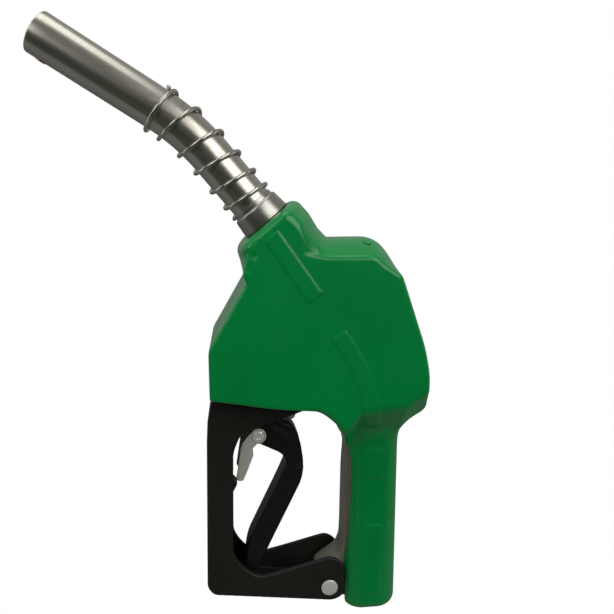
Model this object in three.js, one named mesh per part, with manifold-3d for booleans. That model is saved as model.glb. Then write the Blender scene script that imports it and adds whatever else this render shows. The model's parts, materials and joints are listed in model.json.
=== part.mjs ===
// Automatic fuel nozzle: cast body with a vinyl cover, bent spout, hand lever with a hold-open clip,
// and the valves inside. Millimetres. The origin is the centre of the hose inlet at the foot of the
// handle, +Z runs up the handle, -X is the spout side and Y runs across the thickness.
import * as THREE from "three";
import { mergeVertices } from "three/addons/utils/BufferGeometryUtils.js";
import Module from "manifold-3d";

const wasm = await Module();
wasm.setup();

// ---- driving sizes ----
const GAP = 0.3; // clearance between neighbouring pieces
const COVER_WALL = 2;
const BODY_HALF = 33; // half thickness of the covered body
const EDGE_ROUND = 2.4;
const CROWN = 9; // how far the top of the body rounds off towards the side faces
const BACK_CROWN = 3.2; // the same for its back

const HANDLE_FRONT = 18.2; // from the inlet axis to the lever side
const HANDLE_BACK = 16.6;
const HANDLE_HALF_Y = 17.5;
const HANDLE_ROUND = 13;
const HANDLE_TOP = 150;
const INLET_BORE = 12.3; // radius of a 3/4 inch pipe thread
const INLET_DEPTH = 22;
const PASSAGE = 10; // radius of the way up the handle

const NOSE = [-63, 247]; // centre of the cover's nose face
const NOSE_ANGLE = 50; // degrees the spout stands above level where it leaves the nose
const SPOUT_R = 11.9; // 15/16 inch outside
const SPOUT_WALL = 1.2;
const SPOUT_BEND = 18; // degrees
const BEND_RADIUS = 126;
const SPOUT_FOOT = -3; // where the tube starts, measured out from the nose face
const BEND_START = 47;
const SPOUT_STRAIGHT = 72;
const COLLAR_R = 13.55;
const FLANGE_FOOT = 15.2; // the collar's conical part in front of the nose
const FLANGE_TOP = 14.1;
const COLLAR_OUT = 11;
const COLLAR_IN = 24;
const SPRING_WIRE = 1.2;
const SPRING_MEAN = 13.4;

const PIVOT = [-66, 130]; // lever pin, carried by the trip plunger
const RIVET = [-69.9, 119.5]; // hold-open clip
const GUARD_PIN = [-26.8, 19.4];
const LEVER_HALF = 9.2;
const FORK_HALF = 4.2; // half the slot between the lever's cheeks
const GUARD_IN = 12.4;
const GUARD_OUT = 15.2;
const RACK_HALF = 4.5; // the tooth the hold-open clip catches on

const STEM_FOOT = [-50.5, 125.75]; // where the main valve stem meets the lever
const STEM_LEAN = 17.5; // degrees from upright
const STEM_R = 3;

// ---- solids and placing ----
function solid(geometry) {
  geometry.deleteAttribute("normal");
  geometry.deleteAttribute("uv");
  const merged = mergeVertices(geometry, 1e-4);
  const count = merged.attributes.position.count;
  const index = merged.index ? merged.index.array : Uint32Array.from({ length: count }, (_, i) => i);
  return new wasm.Manifold(
    new wasm.Mesh({
      numProp: 3,
      vertProperties: new Float32Array(merged.attributes.position.array),
      triVerts: new Uint32Array(index),
    }),
  );
}

function geometryOf(made) {
  const mesh = made.getMesh();
  const geometry = new THREE.BufferGeometry();
  geometry.setAttribute("position", new THREE.BufferAttribute(new Float32Array(mesh.vertProperties), 3));
  geometry.setIndex(new THREE.BufferAttribute(new Uint32Array(mesh.triVerts), 1));
  return geometry;
}

const join = (...parts) => parts.reduce((a, b) => a.add(b));
const cut = (from, ...parts) => parts.reduce((a, b) => a.subtract(b), from);
const rad = THREE.MathUtils.degToRad;

// A frame whose local Z points along (dx, dz) from a point in the mid-plane, with local Y across.
function axisFrame([x, z], [dx, dz]) {
  const along = new THREE.Vector3(dx, 0, dz).normalize();
  const across = new THREE.Vector3(0, 1, 0);
  const side = new THREE.Vector3().crossVectors(across, along);
  return new THREE.Matrix4().makeBasis(side, across, along).setPosition(x, 0, z);
}

const UP = [0, 1];
const noseOut = [-Math.cos(rad(NOSE_ANGLE)), Math.sin(rad(NOSE_ANGLE))];
const stemUp = [Math.sin(rad(STEM_LEAN)), Math.cos(rad(STEM_LEAN))];
const noseFrame = axisFrame(NOSE, noseOut);
const stemFrame = axisFrame(STEM_FOOT, stemUp);
const tripFrame = axisFrame([PIVOT[0], 0], UP);

// ---- basic shapes ----
// A turned solid about local Z from a closed [radius, height] outline, listed with height rising outside.
function turned(outline, frame, segments = 20) {
  const points = [...outline, outline[0]].map(([r, h]) => new THREE.Vector2(r, h));
  const geometry = new THREE.LatheGeometry(points, segments);
  geometry.rotateX(Math.PI / 2);
  return solid(geometry.applyMatrix4(frame));
}

function rod(radius, from, to, frame, segments = 24) {
  const geometry = new THREE.CylinderGeometry(radius, radius, to - from, segments);
  geometry.rotateX(Math.PI / 2);
  geometry.translate(0, 0, (from + to) / 2);
  return solid(geometry.applyMatrix4(frame));
}

function ring(outer, inner, from, to, frame, segments = 24) {
  return turned([[inner, from], [outer, from], [outer, to], [inner, to]], frame, segments);
}

// A rod across the thickness at a mid-plane point.
function crossRod(radius, [x, z], from, to, segments = 20) {
  const geometry = new THREE.CylinderGeometry(radius, radius, to - from, segments);
  return solid(geometry.translate(x, (from + to) / 2, z));
}

function box([x0, y0, z0], [x1, y1, z1]) {
  const geometry = new THREE.BoxGeometry(x1 - x0, y1 - y0, z1 - z0);
  return solid(geometry.translate((x0 + x1) / 2, (y0 + y1) / 2, (z0 + z1) / 2));
}

// An outline through [x, z, rounding] corners; a rounding never takes up more than its share of a side.
function rounded(corners) {
  const shape = new THREE.Shape();
  corners.forEach(([x, z, wanted = 0], i) => {
    const here = new THREE.Vector2(x, z);
    const before = new THREE.Vector2(...corners.at(i - 1).slice(0, 2)).sub(here);
    const after = new THREE.Vector2(...corners[(i + 1) % corners.length].slice(0, 2)).sub(here);
    const r = Math.min(wanted, 0.45 * before.length(), 0.45 * after.length());
    const back = before.setLength(r);
    const ahead = after.setLength(r);
    const start = here.clone().add(back);
    const end = here.clone().add(ahead);
    if (i === 0) shape.moveTo(start.x, start.y);
    else shape.lineTo(start.x, start.y);
    if (r) shape.quadraticCurveTo(x, z, end.x, end.y);
  });
  shape.closePath();
  return shape;
}

// A plate: an outline in X and Z, standing from y0 to y1.
function plate(shape, y0, y1, segments = 4) {
  const options = { depth: y1 - y0, bevelEnabled: false, curveSegments: segments };
  const geometry = new THREE.ExtrudeGeometry(shape, options);
  geometry.rotateX(Math.PI / 2);
  return solid(geometry.translate(0, y1, 0));
}

// The same plate on both sides of the mid-plane.
function platePair(shape, inner, outer, segments) {
  return join(plate(shape, inner, outer, segments), plate(shape, -outer, -inner, segments));
}

function sweep(shape, path, steps) {
  return solid(new THREE.ExtrudeGeometry(shape, { steps, extrudePath: path, curveSegments: 6 }));
}

function circleShape(radius, sides, hole = 0) {
  const around = (r) =>
    Array.from({ length: sides }, (_, i) => {
      const a = (2 * Math.PI * i) / sides;
      return new THREE.Vector2(r * Math.cos(a), r * Math.sin(a));
    });
  const shape = new THREE.Shape(around(radius));
  if (hole) shape.holes.push(new THREE.Path(around(hole).reverse()));
  return shape;
}

// A solid through outlines of equally many points; each end closes on its own middle point.
function loft(sections, middle = meanPoint) {
  const count = sections[0].length;
  const index = [];
  for (let layer = 0; layer < sections.length - 1; layer++) {
    for (let i = 0; i < count; i++) {
      const a = layer * count + i;
      const b = layer * count + ((i + 1) % count);
      index.push(a, b, b + count, a, b + count, a + count);
    }
  }
  const last = (sections.length - 1) * count;
  const foot = sections.length * count;
  for (let i = 0; i < count; i++) {
    const next = (i + 1) % count;
    index.push(foot, next, i, foot + 1, last + i, last + next);
  }
  const points = [...sections.flat(), middle(sections[0]), middle(sections.at(-1))];
  const geometry = new THREE.BufferGeometry();
  const places = points.flatMap((p) => p.toArray());
  geometry.setAttribute("position", new THREE.Float32BufferAttribute(places, 3));
  geometry.setIndex(index);
  return solid(geometry);
}

function meanPoint(section) {
  const sum = section.reduce((total, p) => total.clone().add(p), new THREE.Vector3());
  return sum.divideScalar(section.length);
}

// A straight coil spring about local Z with closed ends.
function coil(mean, wire, from, to, turns, frame, sides = 5) {
  class Helix extends THREE.Curve {
    getPoint(t) {
      const a = 2 * Math.PI * turns * t;
      const z = THREE.MathUtils.lerp(from + wire, to - wire, t);
      return new THREE.Vector3(mean * Math.cos(a), mean * Math.sin(a), z).applyMatrix4(frame);
    }
  }
  return sweep(circleShape(wire, sides), new Helix(), Math.round(turns * 10));
}

// ---- the covered body, drawn in by a given amount for the inside of the cover and the casting ----
const bodyOutline = rounded([
  [-96.8, 148.5, 3],
  [-60, 143, 20],
  [-36, 141, 5],
  [30.8, 138.5, 4],
  [31.2, 161.5, 8],
  [27.9, 176.5, 10],
  [12, 222.5, 12],
  [0.5, 237.8, 9],
  [-30, 237.5, 5],
  [-44, 230],
  [-72, 226, 4],
  [-77.6, 214.5, 4],
  [-96.8, 180.2, 6],
]);

// The points round a closed outline, without the repeat of the first.
function openPoints(shape, divisions) {
  const points = shape.getPoints(divisions);
  if (points[0].distanceTo(points.at(-1)) < 1e-6) points.pop();
  return points;
}

function bodyLoft(inset) {
  const points = openPoints(bodyOutline, 3);
  const count = points.length;
  const inward = points.map((p, i) => {
    const before = p.clone().sub(points[(i + count - 1) % count]).normalize();
    const after = points[(i + 1) % count].clone().sub(p).normalize();
    const n = new THREE.Vector2(-before.y - after.y, before.x + after.x).normalize();
    return n.divideScalar(Math.max(0.5, n.dot(new THREE.Vector2(-before.y, before.x))));
  });
  const half = BODY_HALF - inset;
  const layers = [-1, -0.965, -0.85, -0.5, 0, 0.5, 0.85, 0.965, 1];
  return loft(
    layers.map((share) => {
      const y = -share * half;
      const past = Math.max(0, Math.abs(y) - (half - EDGE_ROUND));
      const edge = EDGE_ROUND - Math.sqrt(EDGE_ROUND ** 2 - past ** 2);
      return points.map((p, i) => {
        const back = THREE.MathUtils.smoothstep(p.y, 140, 165) * THREE.MathUtils.smoothstep(p.x, -50, -25);
        const top = THREE.MathUtils.smoothstep(p.y, 205, 222) * THREE.MathUtils.smoothstep(p.x, -50, -25);
        const crown = THREE.MathUtils.lerp(BACK_CROWN * back, CROWN, top) * share ** 2;
        const depth = inset + crown + edge;
        return new THREE.Vector3(p.x + inward[i].x * depth, y, p.y + inward[i].y * depth);
      });
    }),
    ([p]) => new THREE.Vector3(-20, p.y, 175),
  );
}

// The neck that carries the spout, as rounded rectangles across the spout's line.
function neckLoft(inset) {
  const stations = [
    { out: -36, low: -34, high: 19.5, half: 32 },
    { out: -14, low: -28, high: 20.5, half: 32 },
    { out: -3, low: -24, high: 20, half: 31 },
    { out: 0, low: -20, high: 17, half: 28 },
  ];
  return loft(
    stations.map(({ out, low, high, half }) => {
      const x0 = low + inset;
      const x1 = high - inset;
      const y1 = half - inset;
      const r = 11;
      const points = openPoints(rounded([[x0, -y1, r], [x1, -y1, r], [x1, y1, r], [x0, y1, r]]), 3);
      return points.map((p) => new THREE.Vector3(p.x, p.y, out - inset).applyMatrix4(noseFrame));
    }),
  );
}

// The throat where the body narrows down to the handle.
function throatLoft(inset) {
  const stations = [
    { z: 108, low: -HANDLE_FRONT, high: HANDLE_BACK, half: HANDLE_HALF_Y },
    { z: 128, low: -22.5, high: 18.8, half: 20 },
    { z: 137, low: -31.5, high: 27.5, half: 26 },
    { z: 146, low: -36, high: 30, half: 30.5 },
  ];
  return loft(
    stations.map(({ z, low, high, half }) => {
      const x0 = low + inset;
      const x1 = high - inset;
      const y1 = half - inset;
      const r = HANDLE_ROUND - inset;
      const points = openPoints(rounded([[x0, -y1, r], [x1, -y1, r], [x1, y1, r], [x0, y1, r]]), 4);
      return points.map((p) => new THREE.Vector3(p.x, p.y, z));
    }),
  );
}

function handlePost(inset, from, to) {
  const x0 = inset - HANDLE_FRONT;
  const x1 = HANDLE_BACK - inset;
  const y = HANDLE_HALF_Y - inset;
  const r = HANDLE_ROUND - inset;
  const shape = rounded([[x0, -y, r], [x1, -y, r], [x1, y, r], [x0, y, r]]);
  const options = { depth: to - from, bevelEnabled: false, curveSegments: 5 };
  return solid(new THREE.ExtrudeGeometry(shape, options).translate(0, 0, from));
}

const coveredBody = (inset, foot) =>
  join(bodyLoft(inset), neckLoft(inset), throatLoft(inset), handlePost(inset, foot, HANDLE_TOP));

// ---- spout line: out of the nose, round one bend, then straight to the tip ----
class SpoutLine extends THREE.Curve {
  constructor(from, to, drop = 0) {
    super();
    Object.assign(this, { from, to, drop });
  }
  getPoint(t) {
    return spoutPoint(THREE.MathUtils.lerp(this.from, this.to, t), 0, -this.drop);
  }
}

const bendLength = BEND_RADIUS * rad(SPOUT_BEND);
const SPOUT_END = BEND_START + bendLength + SPOUT_STRAIGHT;

// A point at a distance out from the nose face, shifted across (Y) and up (square to the spout).
function spoutPoint(out, across, up) {
  const turn = THREE.MathUtils.clamp((out - BEND_START) / BEND_RADIUS, 0, rad(SPOUT_BEND));
  const start = rad(NOSE_ANGLE);
  const angle = start - turn;
  const before = Math.min(out, BEND_START);
  const after = Math.max(0, out - BEND_START - bendLength);
  const flat = -after * Math.cos(angle);
  const rise = after * Math.sin(angle);
  const bendX = -BEND_RADIUS * (Math.sin(start) - Math.sin(angle));
  const bendZ = BEND_RADIUS * (Math.cos(angle) - Math.cos(start));
  return new THREE.Vector3(
    NOSE[0] - before * Math.cos(start) + bendX + flat + up * Math.sin(angle),
    across,
    NOSE[1] + before * Math.sin(start) + bendZ + rise + up * Math.cos(angle),
  );
}

function spoutPipe(outer, wall, from, to, drop, steps, sides) {
  const path = new SpoutLine(from, to, drop);
  return sweep(circleShape(outer, sides, outer - wall), path, steps);
}

// ---- cover ----
function vinylCover() {
  const strips = [
    [[-65.4, 237.4], [-42, 203.4], [-34.4, 208.8], [-58.7, 243.2]],
    [[-28.9, 183.3], [-19.6, 167.8], [-13.5, 153.6], [-10.2, 139.9], [-0.9, 139.9],
      [-3.6, 155.2], [-9.8, 169.5], [-21.3, 188]],
  ].map((corners) => platePair(rounded(corners), 20, 36));
  const raisedBody = join(bodyLoft(-1), neckLoft(-1));
  const raised = strips.map((strip) => strip.intersect(raisedBody));
  const panels = [
    [[-6, 92.5, 1], [5, 92.5, 1], [5, 111, 1], [-6, 111, 1]],
    [[-6.4, 14, 1], [5, 14, 1], [5, 61.5, 1], [-6.4, 61.5, 1]],
  ].map((corners) => platePair(rounded(corners), 10, 20).intersect(handlePost(-0.8, 5, 115)));
  const outside = join(coveredBody(0, 1), ...raised, ...panels);
  return cut(
    outside,
    coveredBody(COVER_WALL, -1),
    rod(COLLAR_R + 0.5, -6, 2, noseFrame, 32),
    box([-40, -20, 24], [-13.9, 20, 112]),
    box([-40, -9.9, -1], [-13.9, 9.9, 25]),
    box([-92.5, -26, 130], [-34, 26, 151]),
    box([-98, -GUARD_OUT - 0.6, 130], [-90, GUARD_OUT + 0.6, 147]),
  );
}

// ---- casting ----
const seatHeight = 72;
const chamberTop = 96.5;

function inletPassage() {
  const level = [[0, 205], [-26, 205]];
  const across = axisFrame(level[0], [-1, 0]);
  return join(
    rod(INLET_BORE, -1, INLET_DEPTH, axisFrame([0, 0], UP), 32),
    rod(PASSAGE, INLET_DEPTH - 1, 209, axisFrame([0, 0], UP)),
    rod(8, -6, 24, across),
  );
}

// A straight drilled way between two points of the mid-plane.
function drilled(radius, [x0, z0], [x1, z1], segments = 16) {
  const length = Math.hypot(x1 - x0, z1 - z0);
  return rod(radius, 0, length, axisFrame([x0, z0], [x1 - x0, z1 - z0]), segments);
}

function outletPassage() {
  const way = [[-42, 172], [-57, 200], [-52, 216], [-46, 226.8]];
  const ball = new THREE.SphereGeometry(7, 16, 8).translate(way[1][0], 0, way[1][1]);
  return join(
    ...way.slice(1).map((p, i) => drilled(7, way[i], p)),
    solid(ball),
    rod(9, -32, -COLLAR_IN, noseFrame),
  );
}

function bodyCasting() {
  const lug = plate(
    rounded([
      [-8, 8], [-8, 112], [-15.6, 112, 3], [-16.8, 92], [-17.5, 45, 3], [-19.8, 37.5, 3], [-33.9, 27.6, 2],
      [-34.4, 22, 4], [-31.5, 12, 5], [-14, 8, 3],
    ].reverse()),
    -9.5,
    9.5,
  );
  const tripBore = join(
    rod(12.5, 140, 165.2, tripFrame, 28),
    rod(10.5, 164, 174.2, tripFrame, 28),
    drilled(1.5, [-70, 170], [-70, 236], 8),
  );
  const valveBores = join(
    rod(7.3, 10, 38.5, stemFrame),
    rod(STEM_R + 0.4, 38, 46, stemFrame),
    rod(13, 46, 65, stemFrame),
    rod(9.5, 64, seatHeight + 1, stemFrame),
    rod(15, seatHeight, chamberTop, stemFrame, 28),
    rod(17.2, chamberTop - 0.5, chamberTop + 20, stemFrame, 28),
  );
  const screwHoles = [-7, 7].map((y) => {
    const hole = new THREE.CylinderGeometry(2.2, 2.2, 26, 12).rotateX(Math.PI / 2);
    return solid(hole.translate(-88, y, 152));
  });
  return cut(
    join(coveredBody(COVER_WALL + 2 * GAP, 0), lug),
    inletPassage(),
    outletPassage(),
    tripBore,
    valveBores,
    rod(COLLAR_R + GAP, -COLLAR_IN - GAP, 2, noseFrame, 32),
    crossRod(3.3, GUARD_PIN, -12, 12),
    crossRod(1.8, spoutScrewPlace(), -32, -10, 12),
    ...screwHoles,
  );
}

// ---- spout ----
function spoutScrewPlace() {
  const p = spoutPoint(-13, 0, 0);
  return [p.x, p.z];
}

function spoutTube() {
  const tube = spoutPipe(SPOUT_R, SPOUT_WALL, SPOUT_FOOT, SPOUT_END, 0, 20, 20);
  return cut(tube, portFrameRod(2.9, 8, 14));
}

const portCentre = spoutPoint(SPOUT_END - 9, 0, 0);
const portDown = [-Math.sin(rad(NOSE_ANGLE - SPOUT_BEND)), -Math.cos(rad(NOSE_ANGLE - SPOUT_BEND))];
const portFrame = axisFrame([portCentre.x, portCentre.z], portDown);

function portFrameRod(radius, from, to) {
  return rod(radius, from, to, portFrame, 16);
}

function spoutCollar() {
  const collar = turned(
    [[12.2, -COLLAR_IN], [COLLAR_R, -COLLAR_IN], [COLLAR_R, -20], [11.9 + 0.8, -20], [12.7, -18],
      [COLLAR_R, -18], [COLLAR_R, GAP], [FLANGE_FOOT, GAP], [FLANGE_TOP, COLLAR_OUT - 0.8],
      [FLANGE_TOP - 0.8, COLLAR_OUT], [12.2, COLLAR_OUT]],
    noseFrame,
    36,
  );
  return cut(collar, crossRod(1.6, spoutScrewPlace(), -20, -13, 12));
}

function spoutSpring() {
  // turns from the tip end, and how far out from the nose each one lies
  const travel = [[0, 86.8], [0.5, 85.8], [1, 82.9], [1.5, 76.6], [2.75, 56.6], [3.75, 42.8],
    [4.75, 29.2], [5.75, 18], [6.5, 12.9]];
  class Helix extends THREE.Curve {
    getPoint(t) {
      const turn = t * travel.at(-1)[0];
      const i = Math.max(0, travel.findIndex(([n]) => n >= turn) - 1);
      const [n0, out0] = travel[i];
      const [n1, out1] = travel[i + 1];
      const out = THREE.MathUtils.mapLinear(turn, n0, n1, out0, out1);
      const a = 2 * Math.PI * (turn - 0.5);
      return spoutPoint(out, -SPRING_MEAN * Math.sin(a), -SPRING_MEAN * Math.cos(a));
    }
  }
  return sweep(circleShape(SPRING_WIRE, 6), new Helix(), 108);
}

function ventTube() {
  return spoutPipe(1.9, 0.7, 0, SPOUT_END - 6, 6.8, 16, 8);
}

function sensingPort() {
  return turned([[1.3, 9], [2.6, 9], [2.6, 12.4], [1.3, 12.4]], portFrame, 16);
}

// ---- check valve behind the spout ----
const checkCage = () =>
  turned([[6.5, -23.7], [11.9, -23.7], [11.9, -3.6], [10.3, -3.6], [10.3, -21], [6.5, -21]], noseFrame);
const checkPoppet = () =>
  turned([[0, -20.7], [8.4, -20.7], [8.4, -18.5], [1.7, -17], [1.7, -1.5], [0, -1.5]], noseFrame, 20);

function checkSpider() {
  const hub = ring(3.6, 2, -7.5, -4.5, noseFrame, 16);
  const rim = ring(10, 8.4, -7.5, -4.5, noseFrame);
  const arms = [0, 120, 240].map((a) => {
    const arm = new THREE.BoxGeometry(6, 2, 3).translate(6, 0, -6).rotateZ(rad(a));
    return solid(arm.applyMatrix4(noseFrame));
  });
  return join(hub, rim, ...arms);
}

// ---- main valve ----
function mainStem() {
  const r = STEM_R;
  return turned([[0, GAP], [1.4, GAP + 0.3], [2.5, 1.5], [r, 3], [r, 85], [0, 85]], stemFrame, 16);
}

const mainSeal = () => ring(12.4, 3.4, seatHeight + GAP, seatHeight + 2.4, stemFrame);
const mainPoppet = () =>
  turned([[3.3, seatHeight + 2.7], [13, seatHeight + 2.7], [13, seatHeight + 5], [6, seatHeight + 6.5],
    [6, seatHeight + 11], [3.3, seatHeight + 11]], stemFrame);

function bodyCap() {
  const top = chamberTop + 3.5;
  const disc = turned([[0, top - 3], [14.6, top - 3], [14.6, top], [16.9, top], [16.9, top + 5], [0, top + 5]],
    stemFrame, 28);
  return join(disc, rod(6.5, top + 4, top + 8, stemFrame, 6));
}

// ---- trip gear ----
const guide = { foot: 149.6, top: 163.6 };

const plungerGuide = () =>
  turned([[8, guide.foot], [12.2, guide.foot], [12.2, guide.top], [4.9, guide.top], [4.9, 162.3], [5.8, 162.3],
    [5.8, 158.3], [8, 158.3]], tripFrame, 28);
const guidePlug = () =>
  turned([[4.9, 147.8], [9.5, 147.8], [12.2, 148.2], [12.2, 149.3], [4.9, 149.3]], tripFrame, 28);

function tripPlunger() {
  const stem = turned(
    [[0, 138.5], [4.5, 138.5], [4.5, 156.3], [7.6, 156.3], [7.6, 157.9], [4.5, 157.9], [4.5, 162.8],
      [2.2, 162.8], [2.2, 150], [0, 150]],
    tripFrame,
    20,
  );
  const eye = crossRod(5.6, PIVOT, -3.8, 3.8);
  const neck = box([PIVOT[0] - 4, -3.8, PIVOT[1]], [PIVOT[0] + 4, 3.8, 140]);
  const windows = [90, 210, 330].map((a) => latchBall(a, 1.95));
  return cut(join(stem, eye, neck), crossRod(2.7, PIVOT, -6, 6), ...windows);
}

function latchBall(angle, radius) {
  const ball = new THREE.SphereGeometry(radius, 8, 6);
  const [x, y] = [3.8 * Math.cos(rad(angle)), 3.8 * Math.sin(rad(angle))];
  return solid(ball.translate(PIVOT[0] + x, y, 160.3));
}

const latchPin = () =>
  turned([[0, 156.5], [1.9, 157.2], [1.9, 165.3], [6, 165.3], [6, 166.4], [1.9, 166.4], [1.9, 169], [0, 169]],
    tripFrame, 16);

// ---- lever ----
function lever() {
  const outline = rounded([
    [-72.4, 135, 5], [-75, 118.5, 4], [-70.5, 113.6, 3], [-55.5, 106.2, 3], [-53.7, 102, 3],
    [-77.5, 48, 8], [-79.3, 34, 3], [-76.4, 30.2, 2.2], [-71.4, 30.2, 2.6], [-62.4, 49.8, 8],
    [-43.5, 89, 9], [-42, 99, 6], [-44, 113, 8], [-47.2, 121.5, 2], [-50, 125.4, 1], [-54.5, 127, 1.5],
    [-60.5, 135.8, 4],
  ]);
  return cut(
    plate(outline, -LEVER_HALF, LEVER_HALF),
    box([-80, -FORK_HALF, 113.2], [-57.5, FORK_HALF, 140]),
    crossRod(2.7, PIVOT, -12, 12),
    crossRod(2.5, RIVET, -12, 12),
  );
}

function holdOpenClip() {
  const inner = LEVER_HALF + 0.4;
  const outer = inner + 1.3;
  const blade = rounded([
    [-73.8, 122.5, 2.5], [-80.3, 114.5, 3], [-81.4, 107], [-83.5, 93.4, 1], [-82.6, 91.6, 0.6],
    [-79.6, 91.6, 0.6], [-77.4, 96.5, 2], [-72.9, 108.2, 1], [-74, 111.6, 2], [-70, 115, 2],
  ]);
  const web = rounded([[-74.4, 108.6], [-81, 92.2], [-79.6, 91.7], [-77.4, 96.5, 2], [-73, 108]]);
  const plates = [[inner, outer], [-outer, -inner]].map(([y0, y1]) =>
    join(plate(blade, y0, y1), crossRod(4.8, RIVET, y0, y1)),
  );
  const made = join(...plates, plate(web, -outer + 0.5, outer - 0.5));
  return cut(made, crossRod(2.5, RIVET, -14, 14));
}

// A pin across the thickness with a head at each end.
function headedPin(radius, place, shank, headRadius, head) {
  return join(
    crossRod(radius, place, -shank - 0.1, shank + 0.1),
    crossRod(headRadius, place, shank, shank + head, 24),
    crossRod(headRadius, place, -shank - head, -shank, 24),
  );
}

function clipSpring() {
  const frame = new THREE.Matrix4().makeRotationX(Math.PI / 2).setPosition(RIVET[0], 0, RIVET[1]);
  return coil(3.3, 0.4, -3.6, 3.6, 6, frame, 4);
}

// ---- guard ----
function guard() {
  const cheek = rounded([
    [-96, 146.3, 2], [-99.6, 131], [-100.3, 119], [-102.5, 24, 5], [-98.6, 18.9, 2], [-24, 9.6, 4],
    [-17.4, 13, 3], [-17.4, 34, 4], [-25, 40.2, 4], [-54, 32.8, 10], [-71, 29, 6], [-81, 37, 6],
    [-86.3, 46, 4], [-85.6, 87], [-85.1, 111, 5], [-80.5, 122, 3], [-74, 125, 3], [-41, 136.3, 1],
    [-40, 142.6],
  ]);
  const rim = rounded([
    [-96, 146.3, 2], [-99.6, 131], [-100.3, 119], [-102.5, 24, 5], [-98.6, 18.9, 2], [-40, 11.6], [-40, 14.6],
    [-95.8, 21.6, 3], [-99.4, 27, 4], [-97.3, 119], [-96.6, 131], [-92.8, 146.1],
  ]);
  const top = rounded([[-96, 146.3], [-95.2, 142.8], [-80, 142.2], [-80, 145.3]]);
  const rack = rounded([[-99, 90], [-99, 79], [-86, 80.4, 1], [-82.8, 86.6, 0.6], [-85.4, 89.2, 0.6]]);
  const holes = [-7, 7].map((y) => {
    const hole = new THREE.CylinderGeometry(2.2, 2.2, 12, 12).rotateX(Math.PI / 2);
    return solid(hole.translate(-88, y, 144));
  });
  return cut(
    join(
      platePair(cheek, GUARD_IN, GUARD_OUT),
      ...[rim, top].map((shape) => plate(shape, -GUARD_IN - 0.5, GUARD_IN + 0.5)),
      plate(rack, -RACK_HALF, RACK_HALF),
    ),
    crossRod(3.3, GUARD_PIN, -17, 17),
    ...holes,
  );
}

function guardScrew(y) {
  const frame = new THREE.Matrix4().setPosition(-88, y, 0);
  const screw = turned([[0, 139.4], [3.4, 139.4], [3.8, 141.9], [1.9, 141.9], [1.9, 163], [0, 163]], frame, 16);
  const socket = new THREE.CylinderGeometry(1.7, 1.7, 3, 6).rotateX(Math.PI / 2).translate(-88, y, 139.4);
  return cut(screw, solid(socket));
}

// ---- the assembly ----
const finishes = {
  vinyl: { color: 0x00603a, roughness: 0.3, metalness: 0 },
  castAluminium: { color: 0x6f6b60, roughness: 0.55, metalness: 0.9 },
  spoutMetal: { color: 0xa8a49a, roughness: 0.35, metalness: 1 },
  springSteel: { color: 0xb5b2aa, roughness: 0.3, metalness: 1 },
  platedSteel: { color: 0xa9a596, roughness: 0.4, metalness: 1 },
  brass: { color: 0xb08d4a, roughness: 0.4, metalness: 1 },
  blackPlastic: { color: 0x181814, roughness: 0.5, metalness: 0 },
  rubber: { color: 0x111111, roughness: 0.8, metalness: 0 },
};

const assembly = new THREE.Group();

function add(name, made, finish) {
  const mesh = new THREE.Mesh(geometryOf(made), new THREE.MeshStandardMaterial(finishes[finish]));
  mesh.name = name;
  assembly.add(mesh);
}

add("body_casting", bodyCasting(), "castAluminium");
add("vinyl_cover", vinylCover(), "vinyl");
add("spout_tube", spoutTube(), "spoutMetal");
add("spout_collar", spoutCollar(), "spoutMetal");
add("spout_spring", spoutSpring(), "springSteel");
add("collar_o_ring", ring(13.5, 12.9, -19.6, -18.4, noseFrame, 24), "rubber");
add("spout_screw", crossRod(1.3, spoutScrewPlace(), -25, -13.2, 12), "platedSteel");
add("vent_tube", ventTube(), "brass");
add("sensing_port", sensingPort(), "brass");
add("check_cage", checkCage(), "brass");
add("check_poppet", checkPoppet(), "brass");
add("check_spring", coil(5.2, 0.5, -16.2, -7.8, 4, noseFrame), "springSteel");
add("check_spider", checkSpider(), "brass");
add("main_stem", mainStem(), "platedSteel");
add("main_poppet", mainPoppet(), "castAluminium");
add("main_seal", mainSeal(), "rubber");
add("main_spring", coil(9, 0.8, seatHeight + 6.8, chamberTop - 0.4, 4.5, stemFrame), "springSteel");
add("body_cap", bodyCap(), "castAluminium");
add("cap_o_ring", ring(16.8, 15.2, chamberTop + 0.1, chamberTop + 2.6, stemFrame, 24), "rubber");
add("packing_nut", cut(rod(7, 19, 29, stemFrame, 6), rod(STEM_R + GAP, 10, 40, stemFrame, 16)), "brass");
add("stem_packing", ring(7, STEM_R + GAP, 29.5, 38, stemFrame), "rubber");
add("plunger_guide", plungerGuide(), "brass");
add("guide_plug", guidePlug(), "brass");
add("trip_plunger", tripPlunger(), "platedSteel");
add("plunger_spring", coil(6.3, 0.5, 149.7, 156, 2.5, tripFrame), "springSteel");
[90, 210, 330].forEach((angle, i) => add(`latch_ball_${i + 1}`, latchBall(angle, 1.6), "springSteel"));
add("latch_pin", latchPin(), "platedSteel");
add("diaphragm", ring(12.1, 2.3, 163.9, 165, tripFrame), "rubber");
add("diaphragm_spring", coil(3.8, 0.4, 166.8, 173.8, 4, tripFrame, 4), "springSteel");
add("lever", lever(), "blackPlastic");
add("lever_pin", crossRod(2.4, PIVOT, -9, 9), "platedSteel");
add("hold_open_clip", holdOpenClip(), "platedSteel");
add("clip_rivet", headedPin(2.2, RIVET, 11.1, 3.5, 0.9), "platedSteel");
add("clip_spring", clipSpring(), "springSteel");
add("guard", guard(), "blackPlastic");
add("guard_pin", headedPin(3, GUARD_PIN, 15.5, 5.2, 1.3), "platedSteel");
add("guard_screw_near", guardScrew(-7), "platedSteel");
add("guard_screw_far", guardScrew(7), "platedSteel");

export default assembly;
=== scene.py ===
"""Automatic fuel nozzle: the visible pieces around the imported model.

Shapes are worked out in millimetres in the model's own frame and turned into metres when a mesh
is made. The large moulded pieces are the zero level of a field of distances on a grid.
"""

import json
import math

import bpy
import numpy as np
from mathutils import Matrix, Vector


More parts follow.
